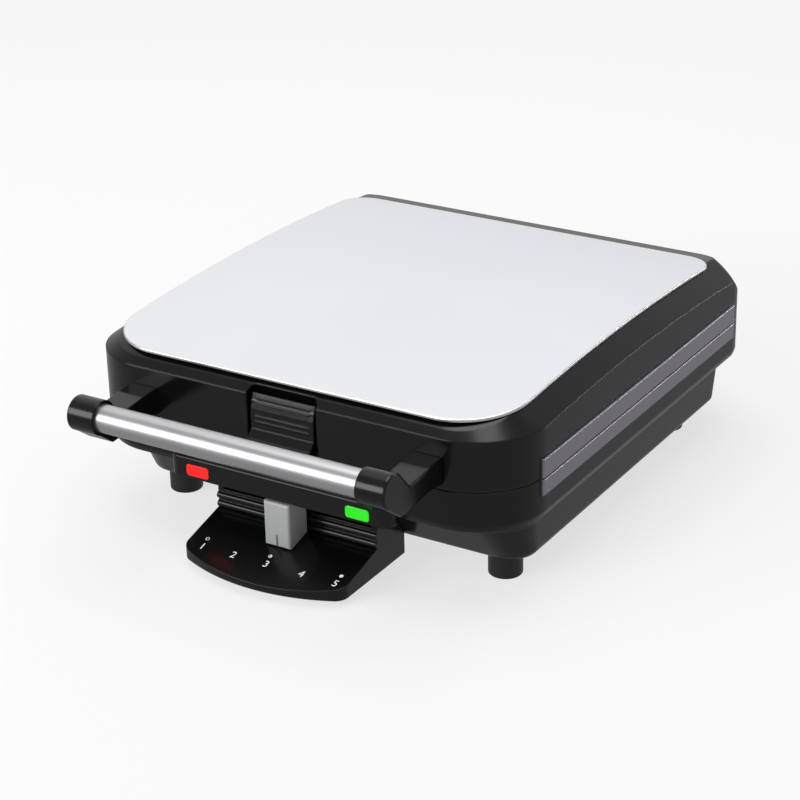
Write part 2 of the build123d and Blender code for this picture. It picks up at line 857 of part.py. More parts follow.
# Browning slider: a knob in front of the slot and a carriage behind it
knob_front_y = box_front_y - 21.0
knob_back_y = box_front_y - ridge_radius + 0.3 - knob_clearance
stem_low_z = slot_bottom_z + 1.0
stem_high_z = slot_top_z - 1.0
with BuildPart() as slider_knob:
    with BuildSketch(Plane.YZ):
        with BuildLine():
            Polyline(
                (knob_front_y, tongue_top(knob_front_y) + knob_clearance),
                (knob_back_y, tongue_top(knob_back_y) + knob_clearance),
                (knob_back_y, knob_top_z),
                (knob_front_y, knob_top_z),
                (knob_front_y, tongue_top(knob_front_y) + knob_clearance),
            )
        make_face()
    extrude(amount=knob_width / 2, both=True)
    front_edges = slider_knob.faces().sort_by(Axis.Y)[0].edges()
    fillet(front_edges, 1.6)
    add(
        box_between(
            (-0.7, knob_front_y - 1, tongue_top(knob_front_y) - 1.0),
            (0.7, knob_front_y + 1.0, tongue_top(knob_front_y) + 9.0),
        ),
        mode=Mode.SUBTRACT,
    )
finish(slider_knob.part, "slider_knob")

with BuildPart() as slider_carriage:
    carriage_y = box_front_y + inner_wall + 1.4
    add(
        box_between(
            (-7.0, carriage_y, slot_bottom_z - 3.0),
            (7.0, carriage_y + 6.0, slot_top_z + 3.0),
        )
    )
    add(
        box_between(
            (-stem_half_width, knob_back_y, stem_low_z),
            (stem_half_width, carriage_y + 1.0, stem_high_z),
        )
    )
    add(
        box_between(
            (-1.0, carriage_y + 5.0, slot_bottom_z + 2.6),
            (1.0, track_front_y + 2.4, slot_top_z - 2.6),
        )
    )
finish(slider_carriage.part, "slider_carriage")

# Cord gland in the rear wall of the tub
with BuildPart() as cord_gland:
    gland_face_y = rear_y - tub_rear_inset - tub_rear_draft * (tub_top_z - gland_z) / (tub_top_z - foot_height)
    add(
        rod(
            gland_flange_radius,
            (gland_x, gland_face_y - wall, gland_z),
            (gland_x, gland_face_y + 3.2, gland_z),
        )
        - housing_solid(0, foot_height, base_top_z)
    )
    add(
        rod(
            gland_radius + 2.4,
            (gland_x, gland_face_y - wall - 4.0, gland_z),
            (gland_x, gland_face_y + 3.2, gland_z),
        )
    )
    add(
        rod(
            gland_radius,
            (gland_x, gland_face_y - wall - 5.0, gland_z),
            (gland_x, gland_face_y + 4.0, gland_z),
        ),
        mode=Mode.SUBTRACT,
    )
finish(cord_gland.part, "cord_gland")

# Hinge pins, one through each lid knuckle and its two ears
pin_half = ear_inner_x + ear_width
for pin_name, side in (("hinge_pin_left", -1), ("hinge_pin_right", 1)):
    with BuildPart() as pin:
        add(
            rod(
                hinge_pin_radius,
                (side * hinge_x - pin_half, hinge_y, hinge_z),
                (side * hinge_x + pin_half, hinge_y, hinge_z),
            )
        )
    finish(pin.part, pin_name)


def bevelled(width, y_front, y_rear, front_radius, rear_radius, drop, inset, fall):
    """A crowned block whose top edge is cut back by inset and down by fall."""
    outline = plan(width, y_front, y_rear, front_radius, rear_radius)
    block = prism(outline, lid_bottom_z, crown_top_z + 20.0) & crown_solid(drop)
    top = block.faces().sort_by(Axis.Z)[-1]
    return block.chamfer(inset, fall, top.edges())


def lid_solid(shrink, drop):
    """The lid housing as a closed solid, drawn in by shrink and lowered by drop."""
    extra = cover_side_inset - cover_front_inset
    width = body_width - 2 * shrink
    y_front = front_y + shrink
    y_rear = rear_y - shrink
    radii = (front_corner_radius - shrink, rear_corner_radius - shrink)
    sides = bevelled(width, y_front - extra, y_rear, *radii, drop, cover_side_inset, bevel_drop)
    front = bevelled(width, y_front, y_rear, *radii, drop, cover_front_inset, front_bevel_drop)
    spread = cover_rear_inset - cover_side_inset
    rear = bevelled(
        width + 2 * spread,
        y_front - (cover_rear_inset - cover_front_inset),
        y_rear,
        front_corner_radius + spread,
        rear_corner_radius + spread + 6.0,
        drop,
        cover_rear_inset,
        bevel_drop,
    )
    return sides & front & rear


def cover_plan_at(shrink):
    """The outline of the steel cover, drawn in by shrink."""
    return plan(
        body_width - 2 * (cover_side_inset + shrink),
        front_y + cover_front_inset + shrink,
        rear_y - cover_rear_inset - shrink,
        cover_front_radius - shrink,
        cover_rear_radius - min(shrink, cover_rear_radius - 4.0),
    )


cover_bed = cover_sheet - cover_rise
pocket_half = latch_width / 2 + latch_pocket_margin
latch_pivot_y = front_y + latch_pivot_setback
pocket_back_y = front_y + latch_pocket_depth
arm_middle_x = (arm_outer_x + arm_inner_x) / 2
arm_screw_z = 89.0


def latch_pocket():
    """The hollow in the lid's front for the latch, with rounded upper corners."""
    with BuildPart(mode=Mode.PRIVATE) as pocket:
        add(
            box_between(
                (-pocket_half, front_y - 1, latch_pocket_bottom_z),
                (pocket_half, pocket_back_y, latch_pocket_top_z),
            )
        )
        upper = pocket.edges().filter_by(Axis.Y).group_by(Axis.Z)[-1]
        fillet(upper, latch_pocket_round)
    return pocket.part


# Lid housing: a hollow bevelled moulding, open at the bottom
with BuildPart() as lid_frame:
    add(lid_solid(0, 0))
    add(lid_solid(wall, cover_bed + wall), mode=Mode.SUBTRACT)
    add(
        prism(inset_plan(wall, wall, wall), lid_bottom_z, lid_bottom_z + deck_thickness)
        - prism(plate_plan(-plate_ledge), lid_bottom_z, lid_bottom_z + deck_thickness)
    )
    add(prism(plate_plan(0), lid_bottom_z, lid_bottom_z + plate_sheet), mode=Mode.SUBTRACT)
    add(
        box_between(
            (-pocket_half - wall, front_y, latch_pocket_bottom_z - wall),
            (pocket_half + wall, pocket_back_y + wall, crown_front_z + 3.0),
        )
        & lid_solid(0, cover_bed)
    )
    add(prism(cover_plan_at(0), crown_front_z - 10.0, crown_top_z + 10.0) - crown_solid(cover_bed), mode=Mode.SUBTRACT)
    add(prism(cover_plan_at(cover_ledge), crown_front_z - 12.0, crown_top_z + 10.0), mode=Mode.SUBTRACT)
    add(latch_pocket(), mode=Mode.SUBTRACT)
    add(
        rod(
            latch_pin_radius,
            (-pocket_half - wall - 1, latch_pivot_y, latch_pivot_z),
            (pocket_half + wall + 1, latch_pivot_y, latch_pivot_z),
        ),
        mode=Mode.SUBTRACT,
    )
    for side in (-1, 1):
        add(
            trim_strip(side, 0, lid_bottom_z, lid_bottom_z + lid_trim_height),
            mode=Mode.SUBTRACT,
        )
        screw_x_here = side * arm_middle_x
        add(
            rod(screw_radius, (screw_x_here, front_y - 1, arm_screw_z), (screw_x_here, front_y + wall, arm_screw_z)),
            mode=Mode.SUBTRACT,
        )
    for x, y in plate_screw_points:
        add(
            rod(screw_radius, (x, y, lid_bottom_z), (x, y, lid_bottom_z + deck_thickness + 1)),
            mode=Mode.SUBTRACT,
        )
finish(lid_frame.part, "lid_frame")

# Steel cover: a thin crowned sheet lying on the lid housing's ledge
with BuildPart() as lid_cover:
    cover_outline = prism(cover_plan_at(0.1), crown_front_z - 10.0, crown_top_z + 10.0)
    add(cover_outline & crown_solid(-cover_rise))
    fillet(lid_cover.faces().sort_by(Axis.Z)[-1].edges(), 0.8)
    add(crown_solid(cover_bed), mode=Mode.SUBTRACT)
finish(lid_cover.part, "lid_cover")

# Handle: a tube between two arms that stand out from the lid's front wall
tube_half = arm_inner_x + cap_socket_depth
with BuildPart() as handle_tube:
    add(rod(tube_radius, (-tube_half, handle_y, handle_z), (tube_half, handle_y, handle_z)))
    add(
        rod(tube_radius - tube_wall, (-tube_half, handle_y, handle_z), (tube_half, handle_y, handle_z)),
        mode=Mode.SUBTRACT,
    )
finish(handle_tube.part, "handle_tube")

for arm_name, side in (("handle_arm_left", -1), ("handle_arm_right", 1)):
    with BuildPart() as arm:
        with BuildSketch(Plane.YZ.offset(side * arm_middle_x)):
            with BuildLine():
                Polyline(
                    (handle_y + 6.4, handle_z + 8.5),
                    (handle_y + 17.5, handle_z - 3.7),
                    (handle_y + 37.7, handle_z - 1.7),
                    (front_y + 2.0, arm_top_z),
                    (front_y + 2.0, arm_bottom_z),
                    (handle_y + 39.5, arm_bottom_z + 2.0),
                    (handle_y + 7.1, handle_z - 18.4),
                    (handle_y - 8.4, handle_z - 6.5),
                    (handle_y + 6.4, handle_z + 8.5),
                )
            make_face()
        extrude(amount=(arm_outer_x - arm_inner_x) / 2, both=True)
        add(prism(inset_plan(0, 0, 0), lid_bottom_z, crown_top_z), mode=Mode.SUBTRACT)
        add(rod(cap_radius, (side * arm_inner_x, handle_y, handle_z), (side * arm_outer_x, handle_y, handle_z)))
        rim = arm.faces().sort_by(Axis.X)[-1 if side > 0 else 0].edges()
        fillet(rim, 1.2)
        add(
            rod(
                tube_radius,
                (side * (arm_inner_x - 1), handle_y, handle_z),
                (side * tube_half, handle_y, handle_z),
            ),
            mode=Mode.SUBTRACT,
        )
        add(
            rod(
                screw_radius,
                (side * arm_middle_x, front_y - 11.0, arm_screw_z),
                (side * arm_middle_x, front_y + 3.0, arm_screw_z),
            ),
            mode=Mode.SUBTRACT,
        )
    finish(arm.part, arm_name)

with BuildPart() as handle_screws:
    for side in (-1, 1):
        x = side * arm_middle_x
        inner_y = front_y + wall
        add(
            rod(
                screw_head_radius,
                (x, inner_y + 0.05, arm_screw_z),
                (x, inner_y + screw_head_height, arm_screw_z),
            )
        )
        add(rod(screw_radius, (x, front_y - 10.0, arm_screw_z), (x, inner_y + 0.5, arm_screw_z)))
finish(handle_screws.part, "handle_screws")

# Latch: a tab hung on a pin in the lid's front pocket, reaching down over the split
tab_back_y = front_y - 0.9
tab_front_y = tab_back_y - latch_thickness
with BuildPart() as latch_tab:
    with BuildSketch(Plane.YZ):
        with BuildLine():
            Polyline(
                (tab_back_y, latch_tip_z),
                (tab_back_y, latch_pocket_bottom_z + 0.2),
                (front_y + 3.6, latch_pocket_bottom_z + 5.2),
                (front_y + 3.6, latch_pivot_z - 4.0),
                (latch_pivot_y + 0.4, latch_pivot_z + 4.6),
                (latch_pivot_y - 1.2, latch_pivot_z + 5.8),
                (front_y + 0.3, latch_pivot_z - 4.2),
                (front_y + 0.3, latch_pocket_bottom_z + 6.0),
                (tab_front_y, latch_pocket_bottom_z + 1.0),
                (tab_front_y, latch_tip_z + 2.0),
                (tab_front_y + 1.4, latch_tip_z),
                (tab_back_y, latch_tip_z),
            )
        make_face()
    extrude(amount=latch_width / 2, both=True)
    add(
        rod(
            latch_barrel_radius,
            (-latch_width / 2, latch_pivot_y, latch_pivot_z),
            (latch_width / 2, latch_pivot_y, latch_pivot_z),
        )
    )
    for rib_z in (latch_pivot_z + 3.0, latch_pivot_z, latch_pivot_z - 8.0, latch_pivot_z - 11.5):
        rib_y = front_y + 0.6 + 0.31 * max(rib_z - latch_pivot_z + 4.2, 0.0)
        add(
            rod(
                0.8,
                (-latch_width / 2 + 3.0, rib_y, rib_z),
                (latch_width / 2 - 3.0, rib_y, rib_z),
            )
        )
    add(
        rod(
            latch_pin_radius + latch_pin_clearance,
            (-latch_width / 2 - 1, latch_pivot_y, latch_pivot_z),
            (latch_width / 2 + 1, latch_pivot_y, latch_pivot_z),
        ),
        mode=Mode.SUBTRACT,
    )
finish(latch_tab.part, "latch_tab")

with BuildPart() as latch_pin:
    add(
        rod(
            latch_pin_radius,
            (-pocket_half - wall + 0.2, latch_pivot_y, latch_pivot_z),
            (pocket_half + wall - 0.2, latch_pivot_y, latch_pivot_z),
        )
    )
finish(latch_pin.part, "latch_pin")
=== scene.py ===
"""Looks of the square waffle maker: finishes, printed scale, grip ribs, camera and light.

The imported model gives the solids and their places, in metres. This script paints them and
adds the small things that the solids leave out. Every piece it adds rides on a body.
"""

import json
import logging
import math

from dataclasses import dataclass
from enum import Enum

import bmesh
import bpy
from mathutils import Matrix, Vector


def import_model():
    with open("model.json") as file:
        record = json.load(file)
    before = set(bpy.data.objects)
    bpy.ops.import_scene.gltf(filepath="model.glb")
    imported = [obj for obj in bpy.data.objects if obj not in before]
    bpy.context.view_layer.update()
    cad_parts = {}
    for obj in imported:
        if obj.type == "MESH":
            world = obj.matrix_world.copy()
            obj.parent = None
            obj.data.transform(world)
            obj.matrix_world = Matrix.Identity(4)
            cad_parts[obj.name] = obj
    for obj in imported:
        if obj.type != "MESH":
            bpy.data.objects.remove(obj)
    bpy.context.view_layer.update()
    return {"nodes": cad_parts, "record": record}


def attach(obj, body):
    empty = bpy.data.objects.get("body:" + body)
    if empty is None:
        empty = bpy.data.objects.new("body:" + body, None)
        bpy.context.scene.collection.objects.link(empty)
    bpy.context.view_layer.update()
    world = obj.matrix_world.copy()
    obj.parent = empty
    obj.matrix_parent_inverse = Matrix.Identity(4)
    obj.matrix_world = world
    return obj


log = logging.getLogger("waffle_maker")

MM = 0.001


class Body(Enum):
    """The rigid bodies that the added pieces ride on."""

    BASE = "base"
    LATCH = "latch"


def linear(hex_colour: str) -> tuple[float, float, float, float]:
    """Turns a screen colour into a linear one.

    Args:
        hex_colour: Six hexadecimal digits, such as "1a1b1c".

    Returns:
        Linear red, green, blue and an alpha of one.
    """
    channels = [int(hex_colour[i : i + 2], 16) / 255 for i in (0, 2, 4)]
    red, green, blue = [
        c / 12.92 if c <= 0.04045 else ((c + 0.055) / 1.055) ** 2.4
        for c in channels
    ]
    return (red, green, blue, 1.0)


def add_node(
    tree: bpy.types.NodeTree,
    kind: str,
    settings: dict | None = None,
    links: dict | None = None,
    **attributes: str | int,
) -> bpy.types.Node:
    """Adds one node to a tree.

    Args:
        tree: The node tree.
        kind: The node's type, such as "ShaderNodeTexNoise".
        settings: Values for input sockets, by socket name or index.
        links: Output sockets to join to input sockets, by input name or index.
        **attributes: Attributes set on the node itself.

    Returns:
        The new node.
    """
    node = tree.nodes.new(kind)
    for name, value in attributes.items():
        setattr(node, name, value)
    for name, value in (settings or {}).items():
        node.inputs[name].default_value = value
    for name, source in (links or {}).items():
        tree.links.new(source, node.inputs[name])
    return node


# Brush lines to a metre, about 0.24 mm apart, and how much longer than wide they are drawn.
BRUSH_LINES = 4200.0
BRUSH_SQUASH = 0.03

# Patches to a metre, about 45 mm across, over which the roughness wanders.
SMEARS = 22.0
SMEAR_LOW = 0.3
SMEAR_HIGH = 0.7
LEAST_ROUGHNESS = 0.02

# Size of the plain texture in millimetres where a finish has no grain of its own.
PLAIN_GRAIN = 9.0

# Height in millimetres of brush lines and grain at full strength.
BUMP_HEIGHT = 0.05

COAT_ROUGHNESS = 0.08
EDGE_SAMPLES = 6


@dataclass(frozen=True)
class Finish:
    """A surface finish.

    Attributes:
        name: Common name and process.
        colour: Screen colour as six hexadecimal digits.
        metallic: 1 for bare metal, 0 for anything else.
        roughness: Mean roughness.
        roughness_swing: How far the roughness wanders either way.
        brush: Direction of the brush lines, or None for an unbrushed surface.
        brush_depth: Strength of the brush lines' bump.
        grain: Size in millimetres of the fine moulding texture, or 0.
        grain_depth: Strength of the fine texture's bump.
        edge: Radius in millimetres to which sharp edges look rounded.
        glow: Strength of emitted light, or 0.
        coat: Weight of a clear coat.
        anisotropy: Anisotropy of the highlight on brushed metal.
        shine: Specular level of a non-metal.
    """

    name: str
    colour: str
    metallic: float = 0.0
    roughness: float = 0.3
    roughness_swing: float = 0.02
    brush: str | None = None
    brush_depth: float = 0.02
    grain: float = 0.0
    grain_depth: float = 0.0
    edge: float = 0.4
    glow: float = 0.0
    coat: float = 0.0
    anisotropy: float = 0.0
    shine: float = 0.5

    def _texture(self, tree: bpy.types.NodeTree, where: bpy.types.NodeSocket) -> bpy.types.Node:
        """Makes the brush lines or the moulding grain.

        Args:
            tree: The material's node tree.
            where: The socket that gives object coordinates.

        Returns:
            The texture node.
        """
        if self.brush:
            stretch = [BRUSH_SQUASH if axis == self.brush else 1.0 for axis in "xyz"]
            mapping = add_node(tree, "ShaderNodeMapping", {"Scale": stretch}, {"Vector": where})
            return add_node(
                tree,
                "ShaderNodeTexNoise",
                {"Scale": BRUSH_LINES, "Detail": 3.0, "Roughness": 0.6},
                {"Vector": mapping.outputs["Vector"]},
            )
        size = self.grain if self.grain > 0 else PLAIN_GRAIN
        return add_node(
            tree,
            "ShaderNodeTexNoise",
            {"Scale": 1.0 / (size * MM), "Detail": 2.0, "Roughness": 0.5},
            {"Vector": where},
        )

    def build(self) -> bpy.types.Material:
        """Makes the Blender material.

        Returns:
            The material.
        """
        material = bpy.data.materials.new(self.name)
        material.use_nodes = True
        tree = material.node_tree
        tree.nodes.clear()
        place = add_node(tree, "ShaderNodeTexCoord")
        where = place.outputs["Object"]
        texture = self._texture(tree, where)
        smear = add_node(
            tree,
            "ShaderNodeTexNoise",
            {"Scale": SMEARS, "Detail": 3.0, "Roughness": 0.55},
            {"Vector": where},
        )
        swing = add_node(
            tree,
            "ShaderNodeMapRange",
            {
                "From Min": SMEAR_LOW,
                "From Max": SMEAR_HIGH,
                "To Min": max(self.roughness - self.roughness_swing, LEAST_ROUGHNESS),
                "To Max": self.roughness + self.roughness_swing,
            },
            {"Value": smear.outputs["Fac"]},
        )
        rounded = add_node(
            tree,
            "ShaderNodeBevel",
            {"Radius": self.edge * MM},
            samples=EDGE_SAMPLES,
        )
        normal = rounded.outputs["Normal"]
        depth = self.brush_depth if self.brush else self.grain_depth
        if depth > 0:
            bump = add_node(
                tree,
                "ShaderNodeBump",
                {"Strength": depth, "Distance": BUMP_HEIGHT * MM},
                {"Height": texture.outputs["Fac"], "Normal": normal},
            )
            normal = bump.outputs["Normal"]
        shader = add_node(
            tree,
            "ShaderNodeBsdfPrincipled",
            {
                "Base Color": linear(self.colour),
                "Metallic": self.metallic,
                "Coat Weight": self.coat,
                "Coat Roughness": COAT_ROUGHNESS,
                "Anisotropic": self.anisotropy,
                "Specular IOR Level": self.shine,
                "Emission Color": linear(self.colour),
                "Emission Strength": self.glow,
            },
            {"Normal": normal, "Roughness": swing.outputs["Result"]},
        )
        add_node(tree, "ShaderNodeOutputMaterial", links={"Surface": shader.outputs["BSDF"]})
        material.diffuse_color = linear(self.colour)
        material.metallic = self.metallic
        material.roughness = self.roughness
        return material


FINISHES = {
    # Phenolic, compression moulded: the housings and arms, deep black with a sharp gloss.
    "black_housing": Finish(
        "glossy black phenolic, moulded",
        "0a0b0b",
        roughness=0.17,
        grain=1.2,
        grain_depth=0.02,
        edge=1.6,
        shine=0.36,
    ),
    # Black plastic, injection moulded: light bar, slider box and scale, a softer gloss.
    "black_control": Finish(
        "glossy black plastic, moulded",
        "0b0c0c",
        roughness=0.2,
        grain=1.0,
        grain_depth=0.03,
        edge=0.9,
        shine=0.36,
    ),
    # Stainless sheet, fine brushed from front to rear and crown pressed: a pale broad sheen.
    "steel_cover": Finish(
        "stainless steel, fine brushed",
        "e9eaee",
        1.0,
        0.3,
        brush="y",
        brush_depth=0.03,
        anisotropy=0.2,
    ),
    # Aluminium strip, satin anodised: a dim gray line along each side.
    "silver_trim": Finish(
        "aluminium strip, satin anodised",
        "9a97a0",
        1.0,
        0.32,
        brush="y",
        edge=1.0,
    ),
    # Aluminium tube, brushed along its length: one long soft highlight.
    "handle_tube": Finish(
        "aluminium tube, brushed",
        "bcbcbf",
        1.0,
        0.36,
        brush="x",
        brush_depth=0.05,
    ),
    # Steel sheet, black powder coated: dull and slightly pebbled.
    "bottom_cover": Finish(
        "steel sheet, black powder coated",
        "1b1b1b",
        roughness=0.55,
        grain=0.8,
        grain_depth=0.2,
    ),
    # Steel screws, zinc plated: bright and a little yellow.
    "screw": Finish("steel, zinc plated", "b9b7ae", 1.0, 0.35),
    # Solid rubber, moulded: near black with hardly any gloss.
    "foot": Finish("rubber, moulded", "131313", roughness=0.45, grain=0.9, grain_depth=0.1),
    # Cast aluminium with a dark non-stick coat: satin with a thin shine on top.
    "plate": Finish(
        "cast plate, non-stick coated",
        "1f1f20",
        roughness=0.42,
        grain=0.5,
        grain_depth=0.15,
        coat=0.15,
    ),
    # Nickel alloy sheath, oxidised by heat: dull brown gray.
    "heater": Finish("tube sheath, heat oxidised", "55534e", 1.0, 0.5),
    # Aluminised steel sheet, pressed: pale and satin.
    "shield": Finish("aluminised steel, pressed", "c6c6c4", 1.0, 0.36),
    # Steatite ceramic, fired: matte cream.
    "thermostat": Finish("steatite ceramic, fired", "ddd6c6", roughness=0.5),
    # Clear red acrylic with a lamp behind it: an even red glow under a gloss.
    "red_lens": Finish(
        "red acrylic, lit from behind",
        "e01414",
        roughness=0.16,
        glow=0.45,
        edge=0.8,
    ),
    # Clear green acrylic with a lamp behind it: an even green glow under a gloss.
    "green_lens": Finish(
        "green acrylic, lit from behind",
        "22cc18",
        roughness=0.16,
        glow=0.45,
        edge=0.8,
    ),
    # Glass envelope of a small lamp, blown: warm and glossy.
    "lamp": Finish("glass lamp, blown", "f5e2b8", roughness=0.1),
    # Glass fibre board, solder masked: flat green.
    "board": Finish("circuit board, solder masked", "1c5a31", roughness=0.4),
    # Black glass-filled nylon, moulded: dull.
    "potentiometer": Finish("black nylon, moulded", "1c1c1c", roughness=0.5),
    # Light gray ABS, moulded: satin, paler than all round it.
    "slider_knob": Finish(
        "light gray plastic, satin moulded",
        "a8aaa9",
        roughness=0.38,
        grain=0.6,
        grain_depth=0.06,
    ),
    # Black acetal, moulded: waxy black.
    "slider_carriage": Finish("black acetal, moulded", "1a1a1a", roughness=0.45),
    # Steel pin, ground: bright, with a narrow highlight.
    "hinge_pin": Finish("steel pin, ground", "bdbdbd", 1.0, 0.25),
    # White ink of the scale, pad printed: flat white.
    "scale_ink": Finish("white ink, pad printed", "f2f3f4", roughness=0.5, edge=0.05),
}


class Palette:
    """Makes each finish once and hands it out by name."""

    def __init__(self) -> None:
        """Starts with nothing made."""
        self._made = {}

    def get(self, name: str) -> bpy.types.Material:
        """Gives the material of a finish.

        Args:
            name: The finish's key, which is also the material slot's name in the record.

        Returns:
            The Blender material.
        """
        if name not in self._made:
            self._made[name] = FINISHES[name].build()
        return self._made[name]


def link_mesh(
    name: str,
    mesh: bpy.types.Mesh,
    material: bpy.types.Material,
    body: Body,
) -> None:
    """Puts a mesh into the scene as one piece that rides on a body.

    Args:
        name: The piece's name.
        mesh: The mesh, with its place in its vertices.
        material: The material for all of its faces.
        body: The body that carries it.
    """
    mesh.materials.clear()
    mesh.materials.append(material)
    piece = bpy.data.objects.new(name, mesh)
    bpy.context.scene.collection.objects.link(piece)
    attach(piece, body.value)
    log.info("made %s on %s", name, body.value)


def flat_mesh(holder: bpy.types.Object) -> bpy.types.Mesh:
    """Turns what an object shows into a plain mesh.

    Args:
        holder: The object, already in the scene.

    Returns:
        The mesh.
    """
    graph = bpy.context.evaluated_depsgraph_get()
    return bpy.data.meshes.new_from_object(holder.evaluated_get(graph))


@dataclass
class Scale:
    """The printed browning scale on the sloping tongue: five numbers and three dots.

    Attributes:
        palette: Where the ink comes from.
        back_y: Y in metres of the slope's back edge.
        back_z: Height in metres of the slope's back edge.
        slope: Rise over run of the tongue's top.
        ink_height: How far in metres the ink stands off the plastic.
        number_x: Where the numbers stand across the tongue, in millimetres.
        number_y: Where the numbers stand along the tongue, in metres.
        number_height: Height of a digit in metres.
        letter_share: Size of the lettering over the height of its digits.
        dots: Each dot's name, its place across the tongue in millimetres and its filled share.
        dot_y: Where the dots stand along the tongue, in metres.
        dot_radius: Radius of a dot in metres.
        dot_line: Width of an open dot's ring in metres.
        dot_steps: How many sides a dot has.
    """

    palette: Palette
    back_y: float = -131.375 * MM
    back_z: float = 21.8 * MM
    slope: float = 0.25
    ink_height: float = 0.03 * MM
    number_x: tuple[float, ...] = (-45.0, -22.5, 1.0, 26.0, 49.5)
    number_y: float = -166.4 * MM
    number_height: float = 5.4 * MM
    letter_share: float = 1.38
    dots: tuple[tuple[str, float, float], ...] = (
        ("light", -46.0, 0.0),
        ("medium", -0.5, 0.5),
        ("dark", 49.5, 1.0),
    )
    dot_y: float = -159.6 * MM
    dot_radius: float = 1.3 * MM
    dot_line: float = 0.4 * MM
    dot_steps: int = 40

    def _onto_slope(self, mesh: bpy.types.Mesh, x: float, y: float) -> None:
        """Lays a flat mesh on the slope.

        Args:
            mesh: The mesh, drawn round the origin in the XY plane.
            x: Where it goes across the tongue.
            y: Where it goes along the tongue.
        """
        tilt = Matrix.Rotation(math.atan(self.slope), 4, "X")
        height = self.back_z + self.slope * (y - self.back_y) + self.ink_height
        mesh.transform(Matrix.Translation((x, y, height)) @ tilt)

    def _digit(self, text: str) -> bpy.types.Mesh:
        """Draws one digit as a thin mesh round the origin.

        Args:
            text: The digit.

        Returns:
            The mesh.
        """
        curve = bpy.data.curves.new(f"scale_{text}", "FONT")
        curve.body = text
        curve.size = self.number_height * self.letter_share
        curve.extrude = self.ink_height
        curve.align_x = "CENTER"
        curve.align_y = "CENTER"
        holder = bpy.data.objects.new(f"scale_{text}_curve", curve)
        bpy.context.scene.collection.objects.link(holder)
        mesh = flat_mesh(holder)
        bpy.data.objects.remove(holder)
        bpy.data.curves.remove(curve)
        return mesh

    def _dot(self, name: str, filled: float) -> bpy.types.Mesh:
        """Draws a dot: a ring, with its right part filled.

        Args:
            name: The mesh's name.
            filled: Filled share of the dot, from 0 for a ring to 1 for a disc.

        Returns:
            The mesh.
        """
        inner = self.dot_radius - self.dot_line
        made = bmesh.new()
        for i in range(self.dot_steps):
            a, b = [2 * math.pi * (i + k) / self.dot_steps for k in (0, 1)]
            middle = math.cos((a + b) / 2)
            solid = filled >= 1 or (filled > 0 and middle > 1 - 2 * filled)
            corners = [(self.dot_radius, a), (self.dot_radius, b)]
            corners += [(0.0, a)] if solid else [(inner, b), (inner, a)]
            spots = [(r * math.cos(t), r * math.sin(t), self.ink_height) for r, t in corners]
            made.faces.new([made.verts.new(spot) for spot in spots])
        bmesh.ops.remove_doubles(made, verts=made.verts, dist=0.001 * MM)
        mesh = bpy.data.meshes.new(name)
        made.to_mesh(mesh)
        made.free()
        return mesh

    def build(self) -> None:
        """Prints the numbers and the dots."""
        ink = self.palette.get("scale_ink")
        for i, x in enumerate(self.number_x):
            mesh = self._digit(str(i + 1))
            self._onto_slope(mesh, x * MM, self.number_y)
            link_mesh(f"scale_number_{i + 1}", mesh, ink, Body.BASE)
        for name, x, filled in self.dots:
            mesh = self._dot(f"scale_dot_{name}", filled)
            self._onto_slope(mesh, x * MM, self.dot_y)
            link_mesh(f"scale_dot_{name}", mesh, ink, Body.BASE)


